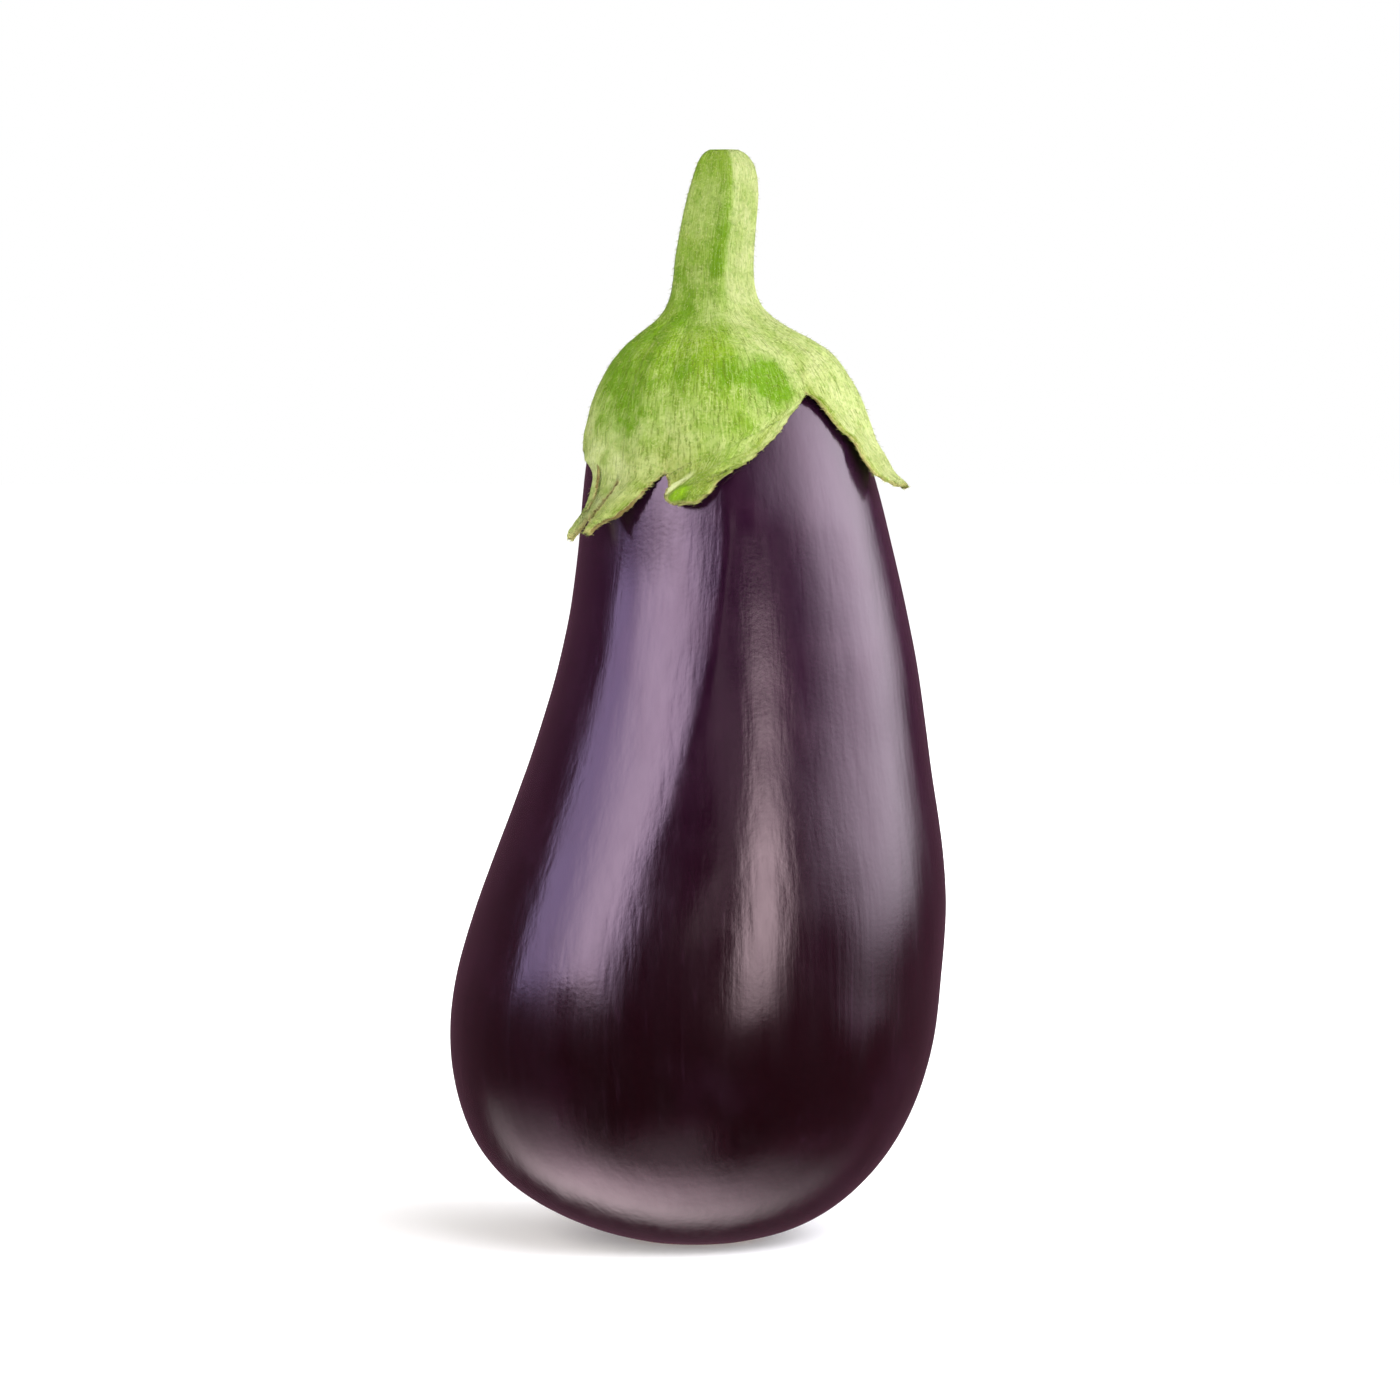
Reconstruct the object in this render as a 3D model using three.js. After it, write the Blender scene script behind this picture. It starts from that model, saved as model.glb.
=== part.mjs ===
// A globe eggplant as picked, standing on the flat spot at its blossom end.
// It is two pieces: the purple fruit, and the green cap, whose lobes clasp the fruit's shoulder
// and whose top runs on into the cut stem.
// Millimetres. +Z is up, +X is to the right of the front view and -Y is towards the viewer.
// The origin is the centre of the flat spot.

import * as THREE from "three";

// Driving dimensions
const FRUIT_HEIGHT = 181; // from the flat spot to the crown under the cap
const FRUIT_WIDTH = 99.6; // across the belly, seen from the front
const DEPTH_PER_WIDTH = 0.98; // front to back, as a share of side to side
const SIDE_BOW = 2; // how far the fruit's middle leans to the back
const SEAT_GAP = 0.3; // clearance between the inside of the cap and the fruit
const STEM_ANGLES = 5; // the stem is blunt-angled, one angle above each lobe of the flower
const STEM_ANGLE_SHARE = 0.055; // height of an angle, as a share of the stem's radius
const STEM_ANGLE_AZIMUTH = 14; // degrees from the front to the angle nearest the viewer
const STEM_ANGLE_TOP = 12; // the stem's angles are full from this height above the crown
const STEM_ANGLE_REACH = 18; // and gone this far below that, where the cap spreads out
const RIB_HEIGHT = 0.6; // the rounded rib down the middle of each lobe

// Facets
const FRUIT_SIDES = 48;
const FRUIT_ROWS = 40;
const CAP_ROWS = 20;
const INNER_ROWS = 9;
const LOBE_ROWS = 9;
const DEGREES_PER_COLUMN = 8;
const HALVINGS = 40; // steps in the search for a height on an outline

const FRUIT_FINISH = { color: 0x2a0f1c, roughness: 0.25, metalness: 0 };
const CAP_FINISH = { color: 0x9cbf55, roughness: 0.7, metalness: 0 };

const HALF_WIDTH = FRUIT_WIDTH / 2;
const RADIANS = Math.PI / 180;

// Outlines, seen from the front, from the bottom up. Each level is its height as a share of the
// fruit's height, then its left and right edges as shares of half the fruit's width.
const FRUIT_OUTLINE = [
  [0, -0.24, 0.24],
  [0.012, -0.405, 0.39],
  [0.044, -0.646, 0.591],
  [0.11, -0.88, 0.802],
  [0.21, -0.986, 0.947],
  [0.29, -0.963, 0.993],
  [0.376, -0.869, 1.01],
  [0.508, -0.695, 0.957],
  [0.641, -0.544, 0.878],
  [0.773, -0.466, 0.778],
  [0.873, -0.426, 0.69],
  [0.939, -0.353, 0.586],
  [0.978, -0.233, 0.438],
  [0.997, -0.06, 0.25],
];
const CAP_OUTLINE = [
  [0.74, -0.505, 0.831],
  [0.873, -0.453, 0.717],
  [0.928, -0.411, 0.652],
  [0.972, -0.332, 0.562],
  [1.006, -0.203, 0.396],
  [1.028, -0.125, 0.281],
  [1.05, -0.099, 0.237],
  [1.083, -0.085, 0.228],
  [1.138, -0.048, 0.24],
  [1.188, 0.004, 0.238],
  [1.204, 0.056, 0.185],
];

// Lobes of the cap, in order of azimuth. A spot on a lobe is an azimuth, in degrees from the front and
// positive to the right, and a drop in millimetres below the crown. Both edges run from a notch to the
// lobe's blunt tip. A left edge starts with the lobe's own notch, and a right edge goes on from the next
// lobe's notch. lift is how far the tip stands off the fruit.
const LOBES = [
  {
    left: [[-88, 22], [-65, 24.2], [-61, 30], [-68, 36], [-79.5, 41.5]],
    right: [[-52.5, 32.2], [-59.5, 34.8], [-69, 38.8], [-75.5, 42.2]],
    lift: 2.2,
  },
  {
    left: [[-46, 29.6], [-51.5, 33.2], [-57.5, 36.2], [-67, 39.6]],
    right: [[-33, 30], [-42, 35.2], [-53, 38.1], [-64, 40.8]],
    lift: 1.2,
  },
  {
    left: [[-26, 27.2], [-25.5, 31], [-20, 33.6]],
    right: [[27, 16.2], [13.5, 22.2], [-1, 27.4], [-12, 33.2]],
    lift: 1.4,
  },
  {
    left: [[38.5, 11.5], [52.5, 18.6], [60, 23], [67, 28], [81, 31.4]],
    right: [[97, 26], [85, 32.2]],
    lift: 4.2,
  },
  {
    left: [[108, 19], [127, 28.5], [141.5, 37]],
    right: [[162, 25], [146.5, 37]],
    lift: 2.4,
  },
  {
    left: [[186, 16], [208, 28], [225.5, 38]],
    right: [[250, 30], [230.5, 38]],
    lift: 2,
  },
];

// The curve through an outline's levels: x is the left edge, y the right edge and z the height.
function outlineCurve(levels) {
  const points = levels.map(
    ([height, left, right]) =>
      new THREE.Vector3(left * HALF_WIDTH, right * HALF_WIDTH, height * FRUIT_HEIGHT),
  );
  return new THREE.CatmullRomCurve3(points, false, "centripetal");
}

const fruitCurve = outlineCurve(FRUIT_OUTLINE);
const capCurve = outlineCurve(CAP_OUTLINE);

// Where along an outline's curve a height is reached, by halving: heights only rise along a curve.
function shareAtHeight(curve, height) {
  let low = 0;
  let high = 1;
  for (let step = 0; step < HALVINGS; step++) {
    const middle = (low + high) / 2;
    if (curve.getPoint(middle).z < height) low = middle;
    else high = middle;
  }
  return (low + high) / 2;
}

function sideBow(height) {
  return SIDE_BOW * Math.sin(Math.PI * Math.min(1, height / FRUIT_HEIGHT));
}

// A point on the round level slice at a share of the way up an outline. swell is a share of the radius.
function slicePoint(curve, share, azimuth, swell = 0) {
  const { x: left, y: right, z: height } = curve.getPoint(share);
  const radius = ((right - left) / 2) * (1 + swell);
  return new THREE.Vector3(
    (left + right) / 2 + radius * Math.sin(azimuth * RADIANS),
    sideBow(height) - radius * DEPTH_PER_WIDTH * Math.cos(azimuth * RADIANS),
    height,
  );
}

function outwardNormal(curve, share, azimuth) {
  const step = 1e-3;
  const upper = slicePoint(curve, Math.min(1, share + step), azimuth);
  const lower = slicePoint(curve, Math.max(0, share - step), azimuth);
  const ahead = slicePoint(curve, share, azimuth + 1);
  const behind = slicePoint(curve, share, azimuth - 1);
  return ahead.sub(behind).cross(upper.sub(lower)).normalize();
}

// Triangles are collected as loose corners: a closed body has each edge in two of them.
function addTriangle(corners, a, b, c) {
  corners.push(a, b, c);
}

// The quads between the rows of a grid of points, seen from the side where columns run to the right
// and rows run down.
function addGrid(corners, rows) {
  for (let r = 0; r + 1 < rows.length; r++) {
    for (let c = 0; c + 1 < rows[r].length; c++) {
      addTriangle(corners, rows[r][c], rows[r + 1][c], rows[r + 1][c + 1]);
      addTriangle(corners, rows[r][c], rows[r + 1][c + 1], rows[r][c + 1]);
    }
  }
}

function geometryOf(corners) {
  return new THREE.BufferGeometry().setFromPoints(corners);
}

function range(count) {
  return Array.from({ length: count }, (_, i) => i);
}

function mean(points) {
  const sum = points.reduce((total, p) => total.add(p), new THREE.Vector3());
  return sum.divideScalar(points.length);
}

// The fruit: one solid of level slices, closed by the flat spot below and the crown above.
function fruitGeometry() {
  const corners = [];
  const rows = range(FRUIT_ROWS + 1).map((r) => {
    const share = 1 - r / FRUIT_ROWS;
    return range(FRUIT_SIDES + 1).map((c) =>
      slicePoint(fruitCurve, share, (360 * (c % FRUIT_SIDES)) / FRUIT_SIDES),
    );
  });
  addGrid(corners, rows);
  const crown = mean(rows[0].slice(1)).setZ(FRUIT_HEIGHT);
  const flatSpot = new THREE.Vector3(0, 0, 0);
  const rim = rows[FRUIT_ROWS];
  for (let c = 0; c < FRUIT_SIDES; c++) {
    addTriangle(corners, crown, rows[0][c], rows[0][c + 1]);
    addTriangle(corners, flatSpot, rim[c + 1], rim[c]);
  }
  return geometryOf(corners);
}

// The cap is built lobe by lobe.
function notchAfter(index) {
  const [azimuth, drop] = LOBES[(index + 1) % LOBES.length].left[0];
  return index + 1 < LOBES.length ? [azimuth, drop] : [azimuth + 360, drop];
}

function lobeEdges(index) {
  const lobe = LOBES[index];
  const edge = (spots) => new THREE.SplineCurve(spots.map((spot) => new THREE.Vector2(...spot)));
  return {
    left: edge(lobe.left),
    right: edge([notchAfter(index), ...lobe.right]),
  };
}

function ribSwell(across) {
  return Math.sin(Math.PI * across) ** 4;
}

// The stem's angles, full along the stem and gone where the cap spreads out.
function stemSwell(share, azimuth) {
  const height = capCurve.getPoint(share).z;
  const full = FRUIT_HEIGHT + STEM_ANGLE_TOP;
  const strength = THREE.MathUtils.smoothstep(height, full - STEM_ANGLE_REACH, full);
  const angle = Math.cos(STEM_ANGLES * (azimuth - STEM_ANGLE_AZIMUTH) * RADIANS);
  return STEM_ANGLE_SHARE * strength * angle;
}

// Points of the cap's outside and inside below the notches, lifted off the fruit towards the tip.
function lobePoints(edges, lift, across, along) {
  const spot = edges.left.getPoint(along).lerp(edges.right.getPoint(along), across);
  const height = FRUIT_HEIGHT - spot.y;
  const capShare = shareAtHeight(capCurve, height);
  const fruitShare = shareAtHeight(fruitCurve, height);
  const away = outwardNormal(fruitCurve, fruitShare, spot.x);
  const raised = lift * along * along;
  const rib = RIB_HEIGHT * ribSwell(across) * (1 - along);
  return {
    outer: slicePoint(capCurve, capShare, spot.x).addScaledVector(away, raised + rib),
    inner: slicePoint(fruitCurve, fruitShare, spot.x).addScaledVector(away, raised + SEAT_GAP),
  };
}

// Columns of the cap above the notches, from the cut end down on the outside and from the crown down inside.
function outerColumn(azimuth, drop, across) {
  const notchShare = shareAtHeight(capCurve, FRUIT_HEIGHT - drop);
  return range(CAP_ROWS).map((r) => {
    const share = 1 - (1 - notchShare) * (r / CAP_ROWS);
    const point = slicePoint(capCurve, share, azimuth, stemSwell(share, azimuth));
    const rib = RIB_HEIGHT * ribSwell(across) * (r / CAP_ROWS) ** 2;
    return point.addScaledVector(outwardNormal(capCurve, share, azimuth), rib);
  });
}

function innerColumn(azimuth, drop) {
  const notchShare = shareAtHeight(fruitCurve, FRUIT_HEIGHT - drop);
  return range(INNER_ROWS).map((r) => {
    const share = 1 - (1 - notchShare) * (r / INNER_ROWS);
    const away = outwardNormal(fruitCurve, share, azimuth);
    return slicePoint(fruitCurve, share, azimuth).addScaledVector(away, SEAT_GAP);
  });
}

// Turns a list of columns into a list of rows.
function rowsOf(columns) {
  return range(columns[0].length).map((r) => columns.map((column) => column[r]));
}

function capGeometry() {
  const corners = [];
  const topRim = [];
  const innerRim = [];
  LOBES.forEach((lobe, index) => {
    const edges = lobeEdges(index);
    const [endAzimuth, endDrop] = notchAfter(index);
    const [startAzimuth, startDrop] = lobe.left[0];
    const columns = Math.round((endAzimuth - startAzimuth) / DEGREES_PER_COLUMN) + 1;
    const outer = [];
    const inner = [];
    for (const c of range(columns + 1)) {
      const across = c / columns;
      const azimuth = THREE.MathUtils.lerp(startAzimuth, endAzimuth, across);
      const drop = THREE.MathUtils.lerp(startDrop, endDrop, across);
      const hanging = range(LOBE_ROWS + 1).map((r) =>
        lobePoints(edges, lobe.lift, across, r / LOBE_ROWS),
      );
      outer.push([...outerColumn(azimuth, drop, across), ...hanging.map((p) => p.outer)]);
      inner.push([...innerColumn(azimuth, drop), ...hanging.map((p) => p.inner)]);
    }
    addGrid(corners, rowsOf(outer));
    addGrid(corners, rowsOf(inner.toReversed()));
    // The rim goes down the left edge, along the tip and up the right edge, past each inside point.
    const hangingEnd = (column) => column.slice(-LOBE_ROWS - 1);
    const round = (sheet) => [
      ...hangingEnd(sheet[0]),
      ...sheet.slice(1, -1).map((column) => column.at(-1)),
      ...hangingEnd(sheet.at(-1)).toReversed(),
    ];
    addGrid(corners, [round(outer), round(inner)]);
    topRim.push(...outer.slice(0, -1).map((column) => column[0]));
    innerRim.push(...inner.slice(0, -1).map((column) => column[0]));
  });
  const cutEnd = mean(topRim);
  const roof = mean(innerRim).setZ(FRUIT_HEIGHT + SEAT_GAP);
  topRim.forEach((point, i) => addTriangle(corners, cutEnd, point, topRim[(i + 1) % topRim.length]));
  innerRim.forEach((point, i) => addTriangle(corners, roof, innerRim[(i + 1) % innerRim.length], point));
  return geometryOf(corners);
}

function piece(name, geometry, finish) {
  const mesh = new THREE.Mesh(geometry, new THREE.MeshStandardMaterial(finish));
  mesh.name = name;
  return mesh;
}

const eggplant = new THREE.Group();
eggplant.add(piece("fruit", fruitGeometry(), FRUIT_FINISH));
eggplant.add(piece("cap_and_stem", capGeometry(), CAP_FINISH));

export default eggplant;
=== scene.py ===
# %% [markdown]
# # A globe eggplant, standing on its blossom end
# This lesson dresses a measured solid model, so that it looks like the real vegetable. The solid model is the
# frame: it says how large each piece is and where it sits. We could paint the two plain solids themselves,
# but their few faces would show in the glossy skin. So each solid is replaced by a fine mesh of nearly the
# same shape, with a finish made of shader nodes, and lit as in a small product studio.

# %% Load the frame
import math

import bmesh
import bpy
import numpy as np
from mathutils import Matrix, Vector, noise


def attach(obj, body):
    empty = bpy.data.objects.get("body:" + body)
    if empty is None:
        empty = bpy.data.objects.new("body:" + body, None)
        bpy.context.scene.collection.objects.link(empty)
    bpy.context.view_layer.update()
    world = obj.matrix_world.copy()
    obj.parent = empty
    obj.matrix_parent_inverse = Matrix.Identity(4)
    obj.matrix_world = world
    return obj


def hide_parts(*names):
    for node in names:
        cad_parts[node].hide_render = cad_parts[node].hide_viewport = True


MM = 0.001  # Blender works in metres here, and an eggplant is easier to describe in millimetres

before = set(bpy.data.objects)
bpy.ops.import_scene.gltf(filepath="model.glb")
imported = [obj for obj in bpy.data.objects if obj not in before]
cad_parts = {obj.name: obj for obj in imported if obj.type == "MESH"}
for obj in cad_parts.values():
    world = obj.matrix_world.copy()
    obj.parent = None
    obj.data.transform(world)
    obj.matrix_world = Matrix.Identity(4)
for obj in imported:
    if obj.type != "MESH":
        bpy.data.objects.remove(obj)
scene = bpy.context.scene
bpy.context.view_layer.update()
print("solid pieces:", sorted(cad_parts))

# %% [markdown]
# ## The camera
# The photograph looks at the eggplant almost level, and hardly shows any perspective, so it was taken from
# far away with a long lens. A camera could be placed by eye. Here its aim comes from the photograph instead:
# one pixel covers 0.2 mm, so the middle of the picture is a known distance from the spot the fruit stands on.

# %% Place the camera
PHOTO_SIDE = 1400  # pixels
PIXEL = 0.2 * MM
FLAT_SPOT_PIXEL = (695, 1240)  # where the frame's origin falls in the photograph
CAMERA_DISTANCE = 1.2
CAMERA_RISE = math.radians(3.5)

aim_x = (PHOTO_SIDE / 2 - FLAT_SPOT_PIXEL[0]) * PIXEL
aim_z = (FLAT_SPOT_PIXEL[1] - PHOTO_SIDE / 2) * PIXEL
aim = Vector((aim_x, 0, aim_z))
towards_camera = Vector((0, -math.cos(CAMERA_RISE), math.sin(CAMERA_RISE)))

camera_data = bpy.data.cameras.new("photo_camera")
camera_data.lens = camera_data.sensor_width * CAMERA_DISTANCE / (PHOTO_SIDE * PIXEL)
camera = bpy.data.objects.new("photo_camera", camera_data)
camera.location = aim + CAMERA_DISTANCE * towards_camera
camera.rotation_euler = towards_camera.to_track_quat("Z", "Y").to_euler()
scene.collection.objects.link(camera)
scene.camera = camera
scene.view_settings.view_transform = "Standard"
print("lens in mm:", round(camera_data.lens, 1))

# %% [markdown]
# ## A curve without kinks
# A glossy skin shows the least kink of its outline as a kink in a highlight. Straight lines between measured
# points won't do, and neither will simple arcs. A natural cubic spline bends evenly all the way: its bend at
# each knot is found by solving one small set of equations, which numpy does for us.

# %% A curve through knots
def smooth_curve(knots):
    """A curve through a list of points, as a function of the share of its way from 0 to 1."""
    knots = np.array(knots, float)
    spans = np.sqrt(np.linalg.norm(np.diff(knots, axis=0), axis=1))
    times = np.concatenate([[0], np.cumsum(spans)])
    system = np.eye(len(knots))
    turns = np.zeros_like(knots)
    for i in range(1, len(knots) - 1):
        before, after = spans[i - 1], spans[i]
        system[i, i - 1:i + 2] = before, 2 * (before + after), after
        turns[i] = 6 * ((knots[i + 1] - knots[i]) / after - (knots[i] - knots[i - 1]) / before)
    bends = np.linalg.solve(system, turns)

    def at(shares):
        time = np.clip(shares, 0, 1) * times[-1]
        i = np.clip(np.searchsorted(times, time, side="right") - 1, 0, len(spans) - 1)
        span, done, left = spans[i][:, None], (time - times[i])[:, None], (times[i + 1] - time)[:, None]
        curved = (bends[i] * left**3 + bends[i + 1] * done**3) / (6 * span)
        leaving = (knots[i] / span - bends[i] * span / 6) * left
        arriving = (knots[i + 1] / span - bends[i + 1] * span / 6) * done
        return curved + leaving + arriving

    return at


print("half way along a bend:", smooth_curve([(0, 0), (1, 1), (2, 0)])(np.array([0.5]))[0])

# %% [markdown]
# ## The outline of the fruit
# The fruit leans: its left side is hollow above the belly, while its right side stays full. So a profile spun
# about one axis isn't enough. At each level we give the left and the right edge, which sets where the round
# slice at that level has its middle and how wide it is. Any point of the skin is then a level and an azimuth,
# the angle round the fruit from the side that faces the camera.

# %% Levels of the fruit
FRUIT_HEIGHT = 181 * MM
HALF_WIDTH = 49.8 * MM
DEPTH_PER_WIDTH = 0.98
SIDE_BOW = 2 * MM  # how far the middle of the fruit leans to the back

FRUIT_LEVELS = [  # height as a share of the fruit's, then left and right edge as shares of the half width
    (0, -0.24, 0.24), (0.012, -0.405, 0.397), (0.044, -0.652, 0.604), (0.11, -0.887, 0.816),
    (0.21, -0.986, 0.957), (0.29, -0.963, 0.993), (0.376, -0.869, 1.01), (0.508, -0.695, 0.957),
    (0.641, -0.544, 0.878), (0.773, -0.466, 0.768), (0.873, -0.426, 0.68), (0.939, -0.353, 0.586),
    (0.978, -0.233, 0.438), (0.997, -0.06, 0.25),
]


def outline(levels, samples=3000):
    """Dense heights, slice middles and slice radii of a leaning round body."""
    knots = np.array(levels) * (FRUIT_HEIGHT, HALF_WIDTH, HALF_WIDTH)
    heights, lefts, rights = smooth_curve(knots)(np.linspace(0, 1, samples)).T
    return heights, (lefts + rights) / 2, (rights - lefts) / 2


fruit_outline = outline(FRUIT_LEVELS)
print("widest slice in mm:", round(2 * fruit_outline[2].max() / MM, 1))

# %% Points and directions on an outline
def on_outline(shape, azimuth, height, swell=0):
    """The point of a leaning round body at an azimuth and a height; swell is a share of the radius."""
    heights, middles, radii = shape
    radius = np.interp(height, heights, radii) * (1 + swell)
    bow = SIDE_BOW * np.sin(np.pi * np.clip(height / FRUIT_HEIGHT, 0, 1))
    x = np.interp(height, heights, middles) + radius * np.sin(azimuth)
    y = bow - radius * DEPTH_PER_WIDTH * np.cos(azimuth)
    return np.stack(np.broadcast_arrays(x, y, height), axis=-1)


def unit(vectors):
    """The same directions with length one."""
    return vectors / np.maximum(np.linalg.norm(vectors, axis=-1, keepdims=True), 1e-12)


def away_from(shape, azimuth, height):
    """The direction straight off the surface."""
    turn, climb = 0.01, 0.4 * MM
    around = on_outline(shape, azimuth + turn, height) - on_outline(shape, azimuth - turn, height)
    up = on_outline(shape, azimuth, height + climb) - on_outline(shape, azimuth, height - climb)
    return unit(np.cross(around, up))


print("front of the belly:", on_outline(fruit_outline, 0, 0.05).round(4))

# %% [markdown]
# ## The skin as a mesh
# Blender could spin or skin this shape with modifiers, but we want to control each row. A mesh is a list of
# points and a list of faces. We lay out the points as a grid, with rows that go down from the crown and
# columns that go round, join four neighbours to each face, and merge the points that fall in the same place.
# Shallow flutes down the neck and faint lumps keep the highlights from looking like those of a glazed vase.

# %% From a grid of points to an object
MERGE_WITHIN = 0.0002 * MM
SEED_STEP = 7.3  # far enough for the noise to look unrelated


def grid_faces(rows, columns, first=0):
    """Quads of a grid whose points are numbered row by row, starting at `first`."""
    corner = first + columns * np.arange(rows - 1)[:, None] + np.arange(columns - 1)
    quads = [corner, corner + columns, corner + columns + 1, corner + 1]
    return np.stack(quads, axis=-1).reshape(-1, 4)


def make_piece(name, points, faces, paint=()):
    """A smooth mesh object; paint is a dict of values per point for the finish to read."""
    mesh = bpy.data.meshes.new(name)
    mesh.from_pydata(points.tolist(), [], faces.tolist())
    for key, values in dict(paint).items():
        layer = mesh.attributes.new(key, "FLOAT" if values.ndim == 1 else "FLOAT_VECTOR", "POINT")
        layer.data.foreach_set("value" if values.ndim == 1 else "vector", values.astype(np.float32).ravel())
    merged = bmesh.new()
    merged.from_mesh(mesh)
    bmesh.ops.remove_doubles(merged, verts=merged.verts, dist=MERGE_WITHIN)
    merged.to_mesh(mesh)
    merged.free()
    mesh.shade_smooth()
    piece = bpy.data.objects.new(name, mesh)
    scene.collection.objects.link(piece)
    print(name, "has", len(mesh.polygons), "faces")
    return piece


def bumps(points, size, seed=0):
    """Smooth random values from -1 to 1, with bumps about `size` apart."""
    places = points.reshape(-1, 3) / size + seed * SEED_STEP
    values = [noise.noise(Vector(place)) for place in places]
    return np.array(values).reshape(points.shape[:-1])


print("the face of a small grid:", grid_faces(2, 2)[0])

# %% [markdown]
# ## The fold of the neck
# A blunt ridge climbs the front of the neck and bends the highlights beside it. It could be sculpted by hand.
# A formula of azimuth and height gives the same soft form, and the calyx that lies on it can use it too.

# %% The fold as a formula
FOLD_LOW = (70, -19)  # height in mm and azimuth in degrees where the fold begins
FOLD_HIGH = (142, -0.5)
FOLD_END = 170  # height in mm where it has died away under the calyx
FOLD_RISE = 3.0 * MM
FOLD_FLANKS = (9, 34)  # mm, left and right
FOLD_BLUNT = 1.0  # mm


def eased(share):
    """A share from 0 to 1 that starts and ends gently."""
    return share**2 * (3 - 2 * share)


def neck_fold(azimuth, height):
    """A soft ridge up the front of the neck, leaning to the right and steeper on its left flank."""
    share = np.clip((height / MM - FOLD_LOW[0]) / (FOLD_HIGH[0] - FOLD_LOW[0]), 0, 1)
    crest = np.radians(FOLD_LOW[1] + share * (FOLD_HIGH[1] - FOLD_LOW[1]))
    radius = np.interp(height, fruit_outline[0], fruit_outline[2]) / MM
    aside = radius * np.angle(np.exp(1j * (azimuth - crest)))
    flank = np.where(aside < 0, FOLD_FLANKS[0], FOLD_FLANKS[1])
    reach = (np.sqrt(aside**2 + FOLD_BLUNT**2) - FOLD_BLUNT) / flank
    end = np.clip((FOLD_END - height / MM) / (FOLD_END - FOLD_HIGH[0]), 0, 1)
    return FOLD_RISE * eased(share) * eased(end) * np.exp(-reach)


print("the fold at its full height in mm:", neck_fold(np.radians(FOLD_HIGH[1]), FOLD_HIGH[0] * MM) / MM)

# %% Shape the skin
SKIN_ROWS = 200
SKIN_COLUMNS = 300
NECK_START = 0.07  # metres up, where the flutes of the neck begin
FLUTES = [(7, 0.002, 1.0), (11, 0.002, 2.2), (17, 0.0015, 0.5)]  # how many, how deep, and their start
LUMP_HEIGHT = 0.3 * MM
LUMP_SIZES = (30 * MM, 10 * MM)
SMALL_LUMPS = 0.2  # their height, as a share
LUMPS_START = 12 * MM  # height where the lumps are full, so that the flat spot stays flat

azimuths = np.linspace(0, 2 * np.pi, SKIN_COLUMNS + 1)
levels = fruit_outline[0][np.linspace(len(fruit_outline[0]) - 1, 0, SKIN_ROWS).astype(int)][:, None]
neck = np.clip((levels - NECK_START) / (FRUIT_HEIGHT - NECK_START), 0, 1)
flutes = neck * sum(depth * np.sin(count * azimuths + start) for count, depth, start in FLUTES)
skin = on_outline(fruit_outline, azimuths, levels, flutes)
lumps = LUMP_HEIGHT * (bumps(skin, LUMP_SIZES[0]) + SMALL_LUMPS * bumps(skin, LUMP_SIZES[1], seed=5))
rises = lumps * np.clip(levels / LUMPS_START, 0, 1) + neck_fold(azimuths, levels)
skin = skin + rises[..., None] * away_from(fruit_outline, azimuths, levels)
print("highest rise of the skin in mm:", round(rises.max() / MM, 2))

# %% Close the skin and make it a piece
SCAR_RINGS = [(0.8, 0.0), (0.55, 0.0), (0.35, 0.25), (0.2, 0.7), (0.1, 0.5), (0.0, 0.4)]  # share, mm up

crown = np.broadcast_to(skin[0].mean(axis=0), skin[:1].shape)
scar = [skin[-1] * (share, share, 1) + (0, 0, rise * MM) for share, rise in SCAR_RINGS]
skin = np.concatenate([crown, skin, np.array(scar)])
fruit_piece = make_piece("eggplant_skin", skin.reshape(-1, 3), grid_faces(len(skin), SKIN_COLUMNS + 1))
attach(fruit_piece, "root")
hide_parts("fruit")

# %% [markdown]
# ## Small tools for finishes
# A finish in Blender is a tree of shader nodes, and writing out each node and link makes long code. These
# helpers each add one node and return its output, so that a finish reads like a sum. A value that varies
# over the surface arrives as a link, and one that is the same everywhere is simply set on the socket. A
# socket knows its tree, so a new node joins the tree of its value.

# %% Helpers for numbers
def connect(socket, value):
    """Links an output to a socket, or sets the socket to a plain value."""
    if isinstance(value, bpy.types.NodeSocket):
        socket.id_data.links.new(value, socket)
    else:
        socket.default_value = value


def beside(socket, kind):
    """A new node in the tree that a socket belongs to."""
    return socket.id_data.nodes.new(kind)


def split(vector):
    """The three parts of a vector."""
    made = beside(vector, "ShaderNodeSeparateXYZ")
    connect(made.inputs[0], vector)
    return made.outputs


def arithmetic(operation, first, second):
    """A sum, product or other calculation with two numbers."""
    made = beside(first, "ShaderNodeMath")
    made.operation = operation
    connect(made.inputs[0], first)
    connect(made.inputs[1], second)
    return made.outputs[0]


def product(*shares):
    """All the shares multiplied."""
    result = shares[0]
    for share in shares[1:]:
        result = arithmetic("MULTIPLY", result, share)
    return result


def fade(value, low, high, start=0.0, end=1.0):
    """Start where the value is at or below low, end where it is at or above high, smooth between."""
    made = beside(value, "ShaderNodeMapRange")
    made.interpolation_type = "SMOOTHSTEP"
    for socket, number in zip(made.inputs, (value, low, high, start, end)):
        connect(socket, number)
    return made.outputs[0]


print("ready: numbers")

# %% Helpers for patterns and colours
def cloud(place, size, detail=3.0, stretch=(1, 1, 1)):
    """Random values about 0.5 with features of a size in metres, drawn out along the axes of stretch."""
    scaled = beside(place, "ShaderNodeMapping")
    scaled.inputs["Scale"].default_value = [1 / (size * factor) for factor in stretch]
    connect(scaled.inputs["Vector"], place)
    made = beside(place, "ShaderNodeTexNoise")
    made.inputs["Scale"].default_value = 1.0
    made.inputs["Detail"].default_value = detail
    connect(made.inputs["Vector"], scaled.outputs[0])
    return made.outputs["Fac"]


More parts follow.
